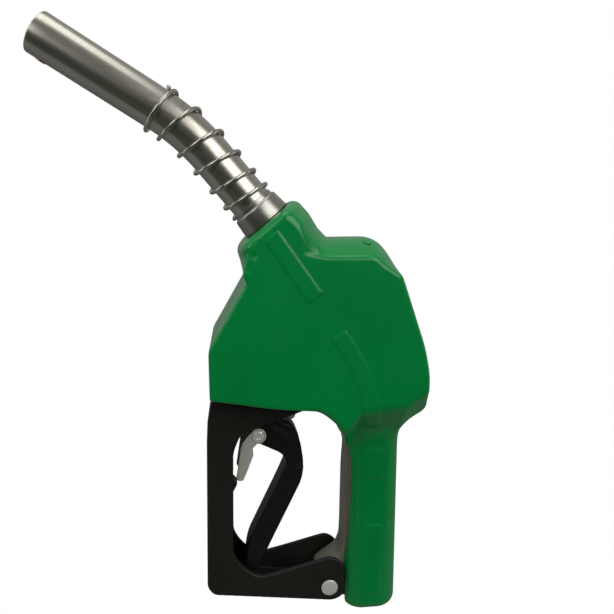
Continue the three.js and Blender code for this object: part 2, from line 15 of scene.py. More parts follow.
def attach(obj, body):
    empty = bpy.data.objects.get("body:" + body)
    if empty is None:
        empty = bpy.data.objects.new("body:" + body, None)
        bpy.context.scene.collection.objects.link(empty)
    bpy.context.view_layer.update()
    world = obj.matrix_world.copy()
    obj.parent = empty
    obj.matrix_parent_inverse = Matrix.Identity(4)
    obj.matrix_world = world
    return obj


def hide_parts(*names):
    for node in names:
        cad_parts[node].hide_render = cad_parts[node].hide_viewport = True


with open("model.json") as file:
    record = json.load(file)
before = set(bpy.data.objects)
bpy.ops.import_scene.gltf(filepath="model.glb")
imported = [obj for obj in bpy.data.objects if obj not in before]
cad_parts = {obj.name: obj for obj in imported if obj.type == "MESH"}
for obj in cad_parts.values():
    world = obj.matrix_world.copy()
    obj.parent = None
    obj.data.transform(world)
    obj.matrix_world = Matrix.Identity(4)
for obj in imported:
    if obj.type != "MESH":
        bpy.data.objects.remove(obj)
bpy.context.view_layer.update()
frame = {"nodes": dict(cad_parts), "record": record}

# Sizes are in millimetres, and places are (x, z) in the mid-plane.
MM = 0.001
NOSE = (-63.0, 247.0)
NOSE_ANGLE = math.radians(50)
SPOUT_R = 11.9
SPOUT_BORE = 10.7
BEND_START = 47.0
BEND_RADIUS = 126.0
BEND = math.radians(18)
SPOUT_STRAIGHT = 72.0
SPOUT_END = BEND_START + BEND_RADIUS * BEND + SPOUT_STRAIGHT
COLLAR_R = 13.55
FLANGE_FOOT = 15.2
FLANGE_TOP = 14.1
RIVET = (-69.9, 119.5)
RIVET_HOLE = 2.5
PIVOT = (-66.0, 130.0)
GUARD_PIN = (-26.8, 19.4)
GUARD_SCREW_X = -88
GUARD_SCREW_SIDES = (-7, 7)
GUARD_SCREW_HOLE = 2.2
GUARD_SCREW_FOOT = 138
GUARD_PIN_HOLE = 3.3
GUARD_HALF = 15.2
GUARD_INNER_HALF = 12.4
BODY_HALF = 33.0
COVER_WALL = 1.6
COVER_TO_CASTING = 2.6
COVER_FOOT = 2.2
BAND_HEIGHT = 0.42
WIRE_R = 1.2
COIL_R = 13.4
EDGE_WEAR = 0.3

# The room is dim in front of and below the nozzle, so the side faces stay deep green.
FRONT_GLOW = 0.06
BACK_GLOW = 0.42
LOW_GLOW = 0.42

# The camera, in metres, and its focal length as a share of the picture's width.
EYE = (-0.0795, -0.358, 0.260)
AHEAD = (0.1097, 0.978, -0.1754)
RIGHTWARD = (0.9938, -0.1115, 0.0)
FOCAL_SHARE = 610 / 614
SENSOR = 36


# ---- outlines and fields ----
def rounded(corners, steps=7):
    """A closed outline through [x, z, rounding] corners, as an N x 2 array."""
    points = []
    count = len(corners)
    for i, corner in enumerate(corners):
        here = np.array(corner[:2], float)
        wanted = corner[2] if len(corner) > 2 else 0
        before = np.array(corners[i - 1][:2], float) - here
        after = np.array(corners[(i + 1) % count][:2], float) - here
        r = min(wanted, 0.45 * np.hypot(*before), 0.45 * np.hypot(*after))
        if r <= 0:
            points.append(here)
            continue
        start = here + before * r / np.hypot(*before)
        end = here + after * r / np.hypot(*after)
        for t in np.linspace(0, 1, steps):
            points.append((1 - t) ** 2 * start + 2 * t * (1 - t) * here + t * t * end)
    return np.array(points)


def outline_field(points, x, z):
    """Signed distance from a closed outline in the X Z plane, negative inside."""
    near = np.full(np.broadcast(x, z).shape, 1e9, np.float32)
    inside = np.zeros(near.shape, bool)
    for (ax, az), (bx, bz) in zip(points, np.roll(points, -1, 0)):
        ex = bx - ax
        ez = bz - az
        length = ex * ex + ez * ez
        if length < 1e-12:
            continue
        t = np.clip(((x - ax) * ex + (z - az) * ez) / length, 0, 1)
        near = np.minimum(near, (x - ax - t * ex) ** 2 + (z - az - t * ez) ** 2)
        if az != bz:
            inside ^= ((az > z) != (bz > z)) & (x < ex * (z - az) / ez + ax)
    away = np.sqrt(near)
    return np.where(inside, -away, away)


def smoothstep(t, low, high):
    """0 below low, 1 above high, and a smooth rise between."""
    u = np.clip((t - low) / (high - low), 0, 1)
    return u * u * (3 - 2 * u)


def corner(a, b, r):
    """Two fields' common inside, with their edge rounded to radius r."""
    u, v = a + r, b + r
    return np.minimum(np.maximum(u, v), 0) + np.hypot(np.maximum(u, 0), np.maximum(v, 0)) - r


def merged(a, b, k):
    """Two fields joined, with a fillet about k wide."""
    h = np.clip(0.5 + 0.5 * (b - a) / k, 0, 1)
    return b + (a - b) * h - k * h * (1 - h)


def less(a, b, r=0.0):
    """Field a with b cut away."""
    return corner(a, -b, r) if r else np.maximum(a, -b)


def along_axis(x, z, foot, direction):
    """Distance along an axis in the mid-plane, and sideways from it within the plane."""
    dx, dz = direction
    return (x - foot[0]) * dx + (z - foot[1]) * dz, (x - foot[0]) * dz - (z - foot[1]) * dx


def rod_field(x, y, z, radius, start, end, foot, direction):
    """A cylinder along an axis in the mid-plane."""
    out, side = along_axis(x, z, foot, direction)
    return np.maximum(np.hypot(side, y) - radius, np.maximum(start - out, out - end))


def slab(x, y, z, low, high):
    """An axis-aligned box."""
    parts = [np.maximum(lo - a, a - hi) for a, lo, hi in zip((x, y, z), low, high)]
    return np.maximum(np.maximum(parts[0], parts[1]), parts[2])


# ---- meshes ----
def surface_net(values, low, cell):
    """Vertices and quads round the zero level of a grid of values."""
    inside = values < 0
    shape = np.array(values.shape)
    total = np.zeros(shape - 1, np.uint8)
    for i in (0, 1):
        for j in (0, 1):
            for k in (0, 1):
                total += inside[i:shape[0] - 1 + i, j:shape[1] - 1 + j, k:shape[2] - 1 + k]
    active = (total > 0) & (total < 8)
    cells = np.argwhere(active)
    index = np.full(active.shape, -1, np.int64)
    index[active] = np.arange(len(cells))
    place = np.zeros((len(cells), 3))
    count = np.zeros(len(cells))
    for axis in range(3):
        u, v = [a for a in range(3) if a != axis]
        for du in (0, 1):
            for dv in (0, 1):
                offset = np.zeros(3, int)
                offset[u], offset[v] = du, dv
                a = values[tuple((cells + offset).T)]
                step = offset.copy()
                step[axis] += 1
                b = values[tuple((cells + step).T)]
                cross = (a < 0) != (b < 0)
                t = np.where(cross, a / np.where(cross, a - b, 1), 0)
                point = np.repeat(offset[None].astype(float), len(cells), 0)
                point[:, axis] += t
                place += point * cross[:, None]
                count += cross
    verts = (cells + place / count[:, None]) * cell + np.array(low)
    quads = []
    for axis in range(3):
        u, v = (axis + 1) % 3, (axis + 2) % 3
        front = [slice(None)] * 3
        back = [slice(None)] * 3
        front[axis], back[axis] = slice(None, -1), slice(1, None)
        a, b = inside[tuple(front)], inside[tuple(back)]
        for begins, flip in ((a & ~b, False), (~a & b, True)):
            edges = np.argwhere(begins)
            edges = edges[(edges[:, u] > 0) & (edges[:, v] > 0)]
            eu, ev = np.zeros(3, int), np.zeros(3, int)
            eu[u], ev[v] = 1, 1
            ring = [index[tuple((edges - s).T)] for s in (eu + ev, ev, np.zeros(3, int), eu)]
            quads.append(np.stack(ring[::-1] if flip else ring, 1))
    return verts, np.concatenate(quads)


def link(name, verts, faces, body, slot, material, replaced):
    """A piece from points in millimetres and faces, which are a list, or an array if all are quads."""
    mesh = bpy.data.meshes.new(name)
    if isinstance(faces, list):
        sizes = np.array([len(f) for f in faces])
        corners = np.concatenate([np.asarray(f) for f in faces])
    else:
        sizes = np.full(len(faces), faces.shape[1])
        corners = faces.ravel()
    mesh.vertices.add(len(verts))
    mesh.vertices.foreach_set("co", (np.asarray(verts) * MM).astype(np.float32).ravel())
    mesh.loops.add(len(corners))
    mesh.loops.foreach_set("vertex_index", corners.astype(np.int32))
    mesh.polygons.add(len(sizes))
    mesh.polygons.foreach_set("loop_start", (np.cumsum(sizes) - sizes).astype(np.int32))
    mesh.update(calc_edges=True)
    mesh.validate()
    mesh.polygons.foreach_set("use_smooth", np.ones(len(mesh.polygons), bool))
    piece = bpy.data.objects.new(name, mesh)
    bpy.context.scene.collection.objects.link(piece)
    mesh.materials.append(material)
    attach(piece, body)
    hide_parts(*replaced)


def moulded(name, field, low, high, cell, body, slot, material, replaced):
    """A piece from a field that is the same on both sides of Y 0, so only one half is worked out."""
    rows = int(math.ceil(high[1] / cell))
    ys = (np.arange(2 * rows) - rows + 0.5) * cell
    xs = np.arange(low[0], high[0] + cell, cell)
    zs = np.arange(low[2], high[2] + cell, cell)
    x = xs.astype(np.float32).reshape(-1, 1, 1)
    z = zs.astype(np.float32).reshape(1, 1, -1)
    values = field(x, ys[:rows].astype(np.float32).reshape(1, -1, 1), z)
    values = np.concatenate([values, values[:, ::-1]], 1)
    verts, quads = surface_net(values, (xs[0], ys[0], zs[0]), cell)
    link(name, verts, quads, body, slot, material, replaced)


def lofted(rings, closed):
    """Vertices and faces through rings of equally many points, outward if the rings turn that way."""
    rings = np.asarray(rings)
    layers, count = rings.shape[:2]
    index = np.arange(layers * count).reshape(layers, count)
    ahead = np.roll(index, -1, 1)
    upper = np.roll(index, -1, 0) if closed else index[1:]
    upper_ahead = np.roll(ahead, -1, 0) if closed else ahead[1:]
    lower, lower_ahead = (index, ahead) if closed else (index[:-1], ahead[:-1])
    quads = np.stack([lower, lower_ahead, upper_ahead, upper], -1).reshape(-1, 4)
    faces = [tuple(q) for q in quads]
    if not closed:
        faces += [tuple(index[0][::-1]), tuple(index[-1])]
    return rings.reshape(-1, 3), faces


def frame_at(origin, direction):
    """Side, across and along unit vectors of an axis in the mid-plane, and its foot."""
    along = np.array([direction[0], 0, direction[1]], float)
    along /= np.linalg.norm(along)
    across = np.array([0.0, 1.0, 0.0])
    return np.cross(across, along), across, along, np.array([origin[0], 0.0, origin[1]])


def cross_frame(place):
    """The same for an axis that runs across the thickness, along +Y."""
    side, across, along = np.array([1.0, 0, 0]), np.array([0, 0, -1.0]), np.array([0, 1.0, 0])
    return side, across, along, np.array([place[0], 0, place[1]])


def turned(corners, axis, sides=64, steps=5):
    """A turned solid from a closed [radius, height, rounding] outline, height rising on the outside."""
    side, across, along, origin = axis
    loop = rounded(corners, steps)
    on_axis = np.flatnonzero(loop[:, 0] < 1e-6)
    closed = not len(on_axis)
    if not closed:
        start = next(i for i in on_axis if (i + 1) % len(loop) not in on_axis)
        loop = np.roll(loop, -start, 0)
        loop = loop[:np.flatnonzero(loop[:, 0] > 1e-6)[-1] + 2]
        loop[[0, -1], 0] = 0.01
    turn = np.linspace(0, 2 * math.pi, sides, endpoint=False)
    spokes = np.cos(turn)[:, None] * side + np.sin(turn)[:, None] * across
    rings = [origin + along * h + spokes * r for r, h in loop]
    return lofted(rings, closed)


# ---- spout line ----
def spout_point(out, across=0.0, up=0.0):
    """A point by its distance along the bent spout, across the thickness, and above the spout's middle."""
    turn = np.clip((out - BEND_START) / BEND_RADIUS, 0, BEND)
    angle = NOSE_ANGLE - turn
    before = min(out, BEND_START)
    after = max(0.0, out - BEND_START - BEND_RADIUS * BEND)
    x = NOSE[0] - before * math.cos(NOSE_ANGLE) - BEND_RADIUS * (math.sin(NOSE_ANGLE) - math.sin(angle))
    z = NOSE[1] + before * math.sin(NOSE_ANGLE) + BEND_RADIUS * (math.cos(angle) - math.cos(NOSE_ANGLE))
    x += -after * math.cos(angle) + up * math.sin(angle)
    z += after * math.sin(angle) + up * math.cos(angle)
    return np.array([x, across, z])


NOSE_DIR = (-math.cos(NOSE_ANGLE), math.sin(NOSE_ANGLE))
STEM_FOOT = (-50.5, 125.75)
STEM_UP = (math.sin(math.radians(17.5)), math.cos(math.radians(17.5)))
nose_axis = frame_at(NOSE, NOSE_DIR)
port_centre = spout_point(SPOUT_END - 9)
port_angle = NOSE_ANGLE - BEND
port_axis = frame_at((port_centre[0], port_centre[2]), (-math.sin(port_angle), -math.cos(port_angle)))


# ---- materials ----
class Nodes:
    """Short names for building a material's nodes."""

    def __init__(self, name):
        self.material = bpy.data.materials.new(name)
        self.material.use_nodes = True
        self.tree = self.material.node_tree
        self.shader = self.tree.nodes["Principled BSDF"]
        self.place = self.tree.nodes.new("ShaderNodeTexCoord").outputs["Object"]

    def node(self, kind, **settings):
        made = self.tree.nodes.new("ShaderNode" + kind)
        for key, value in settings.items():
            setattr(made, key, value)
        return made

    def link(self, a, b):
        self.tree.links.new(a, b)

    def mapped(self, scale=(1, 1, 1), rotation=(0, 0, 0)):
        made = self.node("Mapping")
        made.inputs["Scale"].default_value = scale
        made.inputs["Rotation"].default_value = rotation
        self.link(self.place, made.inputs["Vector"])
        return made.outputs[0]

    def noise(self, scale, detail=3.0, rough=0.5, vector=None):
        made = self.node("TexNoise")
        made.inputs["Scale"].default_value = scale
        made.inputs["Detail"].default_value = detail
        made.inputs["Roughness"].default_value = rough
        self.link(vector or self.place, made.inputs["Vector"])
        return made.outputs["Fac"]

    def span(self, value, low, high, to_low, to_high):
        made = self.node("MapRange")
        for key, v in zip(("From Min", "From Max", "To Min", "To Max"), (low, high, to_low, to_high)):
            made.inputs[key].default_value = v
        self.link(value, made.inputs["Value"])
        return made.outputs[0]

    def colours(self, value, stops):
        made = self.node("ValToRGB")
        ramp = made.color_ramp
        while len(ramp.elements) < len(stops):
            ramp.elements.new(0.5)
        for element, (at, colour) in zip(ramp.elements, stops):
            element.position = at
            element.color = (*colour, 1)
        self.link(value, made.inputs["Fac"])
        return made.outputs[0]

    def mix(self, factor, a, b):
        made = self.node("Mix", data_type="RGBA")
        for key, value in ((0, factor), (6, a), (7, b)):
            if isinstance(value, bpy.types.NodeSocket):
                self.link(value, made.inputs[key])
            else:
                made.inputs[key].default_value = value if key == 0 else (*value, 1)
        return made.outputs[2]

    def edge(self, low=0.52, high=0.6):
        """Where the surface bends outwards, for wear along edges."""
        pointed = self.node("NewGeometry").outputs["Pointiness"]
        return self.span(pointed, low, high, 0, 1)

    def bumps(self, *layers):
        """Bump layers of (height, distance in millimetres, strength)."""
        normal = None
        for height, distance, strength in layers:
            made = self.node("Bump")
            made.inputs["Distance"].default_value = distance * MM
            made.inputs["Strength"].default_value = strength
            self.link(height, made.inputs["Height"])
            if normal:
                self.link(normal, made.inputs["Normal"])
            normal = made.outputs[0]
        self.link(normal, self.shader.inputs["Normal"])

    def into(self, **sockets):
        for key, value in sockets.items():
            socket = self.shader.inputs[key.replace("_", " ")]
            if isinstance(value, bpy.types.NodeSocket):
                self.link(value, socket)
            else:
                socket.default_value = value
        return self.material


def vinyl_material():
    n = Nodes("green_vinyl")
    broad = n.noise(14, 2)
    base = n.colours(broad, [(0.3, (0.0003, 0.29, 0.058)), (0.7, (0.0006, 0.32, 0.066))])
    specks = n.noise(420, 2, 0.6)
    base = n.mix(n.span(specks, 0.72, 0.84, 0, 0.10), base, (0.03, 0.42, 0.15))
    base = n.mix(n.span(n.edge(0.53, 0.62), 0, 1, 0, 0.15), base, (0.01, 0.38, 0.11))
    n.bumps((n.noise(70, 2), 0.25, 0.08), (n.noise(1500, 2), 0.01, 0.06))
    rough = n.span(n.noise(60, 4, 0.6), 0.3, 0.7, 0.2, 0.28)
    return n.into(Base_Color=base, Roughness=rough, Specular_IOR_Level=0.45)


def nylon_material(name, tone):
    n = Nodes(name)
    grain = n.noise(3400, 3, 0.65)
    broad = n.noise(35, 4, 0.6)
    dark = (0.8 * tone, 0.83 * tone, 0.64 * tone)
    light = (1.2 * tone, 1.2 * tone, tone)
    base = n.colours(broad, [(0.3, dark), (0.75, light)])
    scuffs = n.noise(1.0, 5, 0.7, n.mapped((240, 240, 60)))
    base = n.mix(n.span(scuffs, 0.66, 0.8, 0, 0.08), base, (0.08, 0.08, 0.07))
    base = n.mix(n.span(n.edge(0.53, 0.62), 0, 1, 0, 0.3), base, (0.04, 0.039, 0.034))
    n.bumps((n.noise(90, 2), 0.2, 0.08), (grain, 0.03, 0.3))
    rough = n.span(grain, 0.3, 0.7, 0.38, 0.5)
    return n.into(Base_Color=base, Roughness=rough, Specular_IOR_Level=0.3)


def metal_material(name, dark, light, rough, grain_scale, grain_turn=(0, 0, 0), depth=0.005, metallic=1.0):
    """Metal with a fine grain, which runs along an axis where the grain's scales differ."""
    n = Nodes(name)
    grain = n.noise(1.0, 4, 0.6, n.mapped(grain_scale, grain_turn))
    cloud = n.noise(30, 3, 0.5)
    base = n.colours(cloud, [(0.3, dark), (0.72, light)])
    base = n.mix(n.span(grain, 0.35, 0.75, 0, 0.22), base, tuple(0.55 * c for c in dark))
    bright = tuple(min(1.0, 1.25 * c) for c in light)
    base = n.mix(n.span(n.edge(), 0, 1, 0, EDGE_WEAR), base, bright)
    n.bumps((grain, depth, 0.5))
    spread = n.span(grain, 0.3, 0.75, rough - 0.03, rough + 0.03)
    return n.into(Base_Color=base, Roughness=spread, Metallic=metallic)


def cast_material():
    n = Nodes("cast_aluminium")
    grain = n.noise(1500, 4, 0.7)
    cloud = n.noise(60, 5, 0.65)
    base = n.colours(cloud, [(0.25, (0.24, 0.235, 0.18)), (0.75, (0.32, 0.31, 0.25))])
    base = n.mix(n.span(grain, 0.4, 0.75, 0, 0.4), base, (0.15, 0.145, 0.105))
    base = n.mix(n.span(n.edge(), 0, 1, 0, 0.4), base, (0.25, 0.24, 0.2))
    n.bumps((n.noise(220, 3), 0.15, 0.3), (grain, 0.06, 0.6))
    rough = n.span(n.noise(300, 4), 0.3, 0.7, 0.44, 0.62)
    return n.into(Base_Color=base, Roughness=rough, Metallic=0.25)


def rubber_material():
    n = Nodes("rubber")
    base = n.colours(n.noise(60, 3), [(0.3, (0.008, 0.008, 0.008)), (0.7, (0.016, 0.015, 0.014))])
    n.bumps((n.noise(2200, 3), 0.04, 0.4))
    rough = n.span(n.noise(200, 3), 0.3, 0.7, 0.6, 0.8)
    return n.into(Base_Color=base, Roughness=rough, Specular_IOR_Level=0.35)


SPOUT_TURN = (0, math.radians(38), 0)
vinyl = vinyl_material()
nylon = nylon_material("black_nylon", 0.018)
# The lever's nylon is the guard's nylon at half its tone: painted shade, so the lever reads darker than the
# guard.
lever_nylon_painted_shade = nylon_material("lever_nylon_painted_shade", 0.009)
cast = cast_material()
rubber = rubber_material()
satin = metal_material("satin_aluminium", (0.56, 0.54, 0.46), (0.64, 0.62, 0.54), 0.30, (25, 1100, 1100),
                       SPOUT_TURN)
collar_metal = metal_material("collar_metal", (0.42, 0.41, 0.36), (0.50, 0.49, 0.44), 0.33, (600, 1800, 600))
wire_steel = metal_material("spring_wire", (0.46, 0.44, 0.38), (0.58, 0.56, 0.50), 0.2, (500, 500, 500))
plated = metal_material("plated_steel", (0.66, 0.64, 0.56), (0.86, 0.84, 0.76), 0.42, (900, 900, 250),
                        depth=0.015, metallic=0.35)
pin_steel = metal_material("pin_steel", (0.84, 0.83, 0.79), (0.96, 0.95, 0.91), 0.24, (900, 900, 900),
                           metallic=0.25)
brass = metal_material("brass", (0.42, 0.27, 0.09), (0.60, 0.41, 0.16), 0.32, (700, 700, 700))
SLOT_MATERIALS = {"vinyl": vinyl, "cast_aluminium": cast, "spout_metal": satin, "spring_steel": wire_steel,
                  "plated_steel": plated, "brass": brass, "black_plastic": nylon, "rubber": rubber}


# ---- cover ----
BODY = rounded([
    (-97, 149.2, 1.5), (-93.5, 149, 3), (-60, 143.2, 20), (-43.5, 141.6, 8), (-36, 140, 5), (-30.5, 136.2, 5),
    (-25.3, 131.2, 5), (-22, 126, 5), (-19.8, 118, 5), (-17, 108, 4), (-10, 102), (8, 102), (11, 114, 4),
    (15.8, 123.5, 4), (20, 129.5, 4), (28.2, 133.6, 2.5), (30.9, 137.5, 2.5), (31, 160.5, 5),
    (27.9, 176.5, 20), (12, 222.5, 14), (0.5, 237.8, 10), (-30, 237.6, 20), (-38, 239, 6), (-46, 242, 3),
    (-60, 238, 4), (-71, 225, 4), (-76.2, 214, 3), (-89.8, 190.3, 3), (-97, 178, 3),
])
BANDS = [
    rounded([(-65.4, 237.4, 0.6), (-42, 203.4, 0.6), (-34.4, 208.8, 0.6), (-58.7, 243.2, 0.6)], 3),
    rounded([(-28.9, 183.3, 0.6), (-19.6, 167.8, 20), (-13.5, 153.6, 20), (-10.2, 139.9, 12), (-8.6, 128, 3),
             (1.2, 128, 3), (-0.9, 139.9, 12), (-3.6, 155.2, 20), (-9.8, 169.5, 20), (-21.3, 188, 0.6)], 6),
    rounded([(-6, 92.5, 1), (5, 92.5, 1), (5, 111, 1), (-6, 111, 1)], 3),
    rounded([(-6.4, 14, 1), (5, 14, 1), (5, 61.5, 1), (-6.4, 61.5, 1)], 3),
]
SLIT = rounded([
    (-60, 24), (-17.4, 24), (-16.8, 33, 4), (-15.5, 45, 6), (-14.5, 58, 8), (-13.7, 84, 10), (-13.6, 96, 10),
    (-14.2, 105, 6), (-15.8, 112.5, 4), (-19, 121, 3), (-60, 121),
])
# The height of the neck's upper flank above its middle line, from the body out to the nose.
NECK_HIGH = [20.8, 20.6, 20.1, 21.6, 21.2, 19.5]
# The line of a shallow fold where the neck's lower flank meets the slanted front face.
FOLD = ((-69.6, 237.0), (-71.3, 229.6), (-74.4, 222.0))


def spread(value, places, amounts):
    """Amounts given at some places, with straight lines between them."""
    return np.interp(value, places, amounts).astype(np.float32)


def bored(made, x, y, z, place, radius, round_off):
    """A field with a hole through the whole thickness."""
    return less(made, np.hypot(x - place[0], z - place[1]) - radius + 0 * y, round_off)


def screw_holes(x, y, z, top):
    """The two guard screws' holes, from inside the guard up to a height."""
    near = np.minimum(*[np.hypot(x - GUARD_SCREW_X, y - at) for at in GUARD_SCREW_SIDES])
    return np.maximum(near - GUARD_SCREW_HOLE, np.maximum(GUARD_SCREW_FOOT - z, z - top))


def handle_post(x, y, z):
    """The handle, widening a little where it runs up into the body."""
    wider = 0.6 * smoothstep(z, 108, 126)
    return corner(np.abs(x + 0.8) - 17.4 - wider, np.abs(y) - 17.5 - wider, 13.0)


def neck_field(x, y, z):
    """The neck that carries the spout; its far upper flank falls away towards the side faces."""
    out, side = along_axis(x, z, NOSE, NOSE_DIR)
    across = np.abs(y)
    half = 33 - 1.1 * smoothstep(x, -46.5, -38)
    share = across / half
    lip = smoothstep(out, -13, -4)
    low = spread(out, [-40, -12.4, -6.2, -0.8], [-38, -29, -26, -23.8]) - side + 5.0 * lip * share ** 2
    high = side - spread(out, [-40, -30, -22, -12, -4, 0], NECK_HIGH) + 9.5 * share ** 2
    flanks = np.maximum(np.maximum(low, high), -46 - out)
    radius = np.maximum(2.4 * smoothstep(side, -6, 4), 3.2 * smoothstep(out, -12, -4)) + 0.8
    made = corner(corner(flanks, out, 3.0), across - half, radius)
    for (ax, az), (bx, bz) in zip(FOLD, FOLD[1:]):
        ex, ez = bx - ax, bz - az
        t = np.clip(((x - ax) * ex + (z - az) * ez) / (ex * ex + ez * ez), 0, 1)
        away = np.hypot(x - ax - t * ex, z - az - t * ez)
        made = made + 0.5 * smoothstep(-away, -2.6, 0) * smoothstep(across, 20, 26)
    return made


def body_field(x, y, z):
    """The body below the neck, chamfered where it runs down into the handle."""
    across = np.abs(y)
    roof = smoothstep(x, -56, -48) * smoothstep(z, 212, 226)
    back = smoothstep(x, -10, 12) * smoothstep(z, 128, 144)
    arc = smoothstep(-x, 8, 20) * smoothstep(x, -48, -34) * smoothstep(-z, -158, -140)
    crown = np.maximum(9.0 * roof, 3.2 * back) + 0.8 * arc
    radius = 1.5 + 0.5 * roof + 0.7 * back + 1.5 * arc
    body = corner(outline_field(BODY, x, z) + crown * (across / BODY_HALF) ** 2, across - BODY_HALF, radius)
    drop = spread(x, [-22, -15, -12, 14.5, 18, 25, 34], [126, 134, 139, 142, 144.5, 149.5, 154]) - z
    facet = (across - BODY_HALF + 0.8 * drop) * 0.76
    return corner(body, facet, 2.0)


def covered_body(x, y, z):
    """The outside of the cover, without its raised bands."""
    lower = merged(body_field(x, y, z), np.maximum(handle_post(x, y, z), z - 160), 5)
    whole = np.minimum(lower, neck_field(x, y, z))
    return corner(whole, COVER_FOOT - z, 6.0)


def cover_field(x, y, z):
    """The cover's wall with its raised bands, two dimples on top and the openings it is pulled on through."""
    across = np.abs(y)
    outside = covered_body(x, y, z)
    raised = np.zeros(np.broadcast(x, z).shape, np.float32)
    for band in BANDS:
        raised = np.maximum(raised, BAND_HEIGHT * smoothstep(-outline_field(band, x, z), -0.4, 0.5))
    dimple = 1.4 * smoothstep(-np.hypot(x + 6.9, across - 17), -3.4, -1.4) * (z > 220)
    skin = outside - raised * (across > 8) + dimple
    inner = outside + COVER_WALL
    out, side = along_axis(x, z, NOSE, NOSE_DIR)
    collar_hole = np.maximum(np.hypot(side, y) - FLANGE_FOOT - 0.3, np.maximum(out - 4, -9 - out))
    underside = slab(x, y, z, (-92.5, -27, 120), (-34, 27, 153))
    slit = np.maximum(outline_field(SLIT, x, z), across - 20)
    foot_slit = slab(x, y, z, (-40, -10.2, -2), (-12, 10.2, 26))
    # the guard's upper lip stands in this notch
    notch = slab(x, y, z, (-99, -15.9, 130), (-90, 15.9, 150))
    made = less(skin, inner)
    for opening in (collar_hole, underside, slit, foot_slit, notch):
        made = less(made, opening)
    return np.maximum(made, COVER_FOOT - z)


moulded("cover", cover_field, (-101, -36, -2), (39, 36, 267), 0.78, "body", "vinyl", vinyl, ["vinyl_cover"])


# ---- casting ----
LUG = rounded([
    (-8, 8), (-8, 112), (-15.6, 112, 3), (-16.8, 92), (-17.5, 45, 3), (-19.8, 37.5, 3), (-33.9, 27.6, 2),
    (-34.4, 22, 4), (-31.5, 12, 5), (-14, 8, 3),
])
OUTLET = [(-42, 172), (-57, 200), (-52, 216), (-46, 226.8)]


def casting_field(x, y, z):
    """The casting: the cover's shape drawn in, the bare front strip with its lug, and every bore."""
    across = np.abs(y)
    made = covered_body(x, y, z) + COVER_TO_CASTING
    made = np.maximum(made, -z)
    lug = corner(outline_field(LUG, x, z), across - 9.5, 1.2)
    made = np.minimum(made, lug)
    # radius, start, end, foot and direction: the inlet, the fuel's way, the plunger, the stem, the spout
    bores = [
        (12.3, -5, 22, (0, 0), (0, 1)), (10, 21, 209, (0, 0), (0, 1)), (8, -6, 24, (0, 205), (-1, 0)),
        (12.5, 130, 165.2, (PIVOT[0], 0), (0, 1)), (10.5, 164, 174.2, (PIVOT[0], 0), (0, 1)),
        (7.3, 5, 38.5, STEM_FOOT, STEM_UP), (3.4, 38, 46, STEM_FOOT, STEM_UP),
        (13, 46, 65, STEM_FOOT, STEM_UP), (9.5, 64, 73, STEM_FOOT, STEM_UP),
        (15, 72, 96.5, STEM_FOOT, STEM_UP), (17.2, 96, 118, STEM_FOOT, STEM_UP),
        (13.85, -24.3, 20, NOSE, NOSE_DIR), (9, -32, -20, NOSE, NOSE_DIR),
    ]
    for (x0, z0), (x1, z1) in zip(OUTLET, OUTLET[1:]):
        length = math.hypot(x1 - x0, z1 - z0)
        bores.append((7, 0, length, (x0, z0), ((x1 - x0) / length, (z1 - z0) / length)))
    for radius, start, end, foot, direction in bores:
        made = less(made, rod_field(x, y, z, radius, start, end, foot, direction))
    made = bored(made, x, y, z, GUARD_PIN, GUARD_PIN_HOLE, 0.3)
    return less(made, screw_holes(x, y, z, 165))


moulded("casting", casting_field, (-101, -33, -2), (37, 33, 262), 1.1, "body", "cast_aluminium", cast,
        ["body_casting"])


# ---- lever ----
LEVER = rounded([
    (-72.4, 135, 5), (-75, 118.5, 4), (-70.5, 114.2, 3), (-56, 107, 4.5), (-52.6, 101.5, 6), (-58, 89, 4),
    (-77.5, 48, 8), (-79.3, 34, 3), (-76.4, 30.2, 2.2), (-71.4, 30.2, 2.6), (-62.4, 49.8, 8), (-43.5, 89, 9),
    (-42, 99, 6), (-44, 113, 8), (-47.2, 121.5, 5), (-50, 125.4, 2), (-54.5, 127, 1.5), (-60.5, 135.8, 4),
])
LEVER_RIDGE = rounded([
    (-63.4, 127.5), (-59.8, 123.7, 4), (-54.4, 120.1, 4), (-49.7, 115.4, 4), (-47.2, 108, 4), (-45.5, 98, 4),
    (-38, 98), (-38, 135), (-60, 138),
])


def lever_field(x, y, z):
    """The lever: a bent bar with a slightly hollow side, forked at the top round the plunger."""
    across = np.abs(y)
    outline = outline_field(LEVER, x, z)
    set_back = 1.6 * smoothstep(-outline_field(LEVER_RIDGE, x, z), -0.5, 0.6)
    made = corner(outline, across - 9.2 + set_back, 1.9)
    hollow = 0.7 * smoothstep(-outline, 3.2, 4.4) * smoothstep(103 - z, 0, 6) * smoothstep(z - 44, 0, 6)
    made = made + hollow * (across > 5)
    made = less(made, slab(x, y, z, (-80, -4.2, 113.2), (-57.5, 4.2, 140)), 0.5)
    made = bored(made, x, y, z, PIVOT, 2.7, 0.3)
    return bored(made, x, y, z, RIVET, RIVET_HOLE, 0.3)


moulded("lever_arm", lever_field, (-82, -10, 30), (-38, 10, 138), 0.55, "lever", "black_plastic", lever_nylon_painted_shade,
        ["lever"])


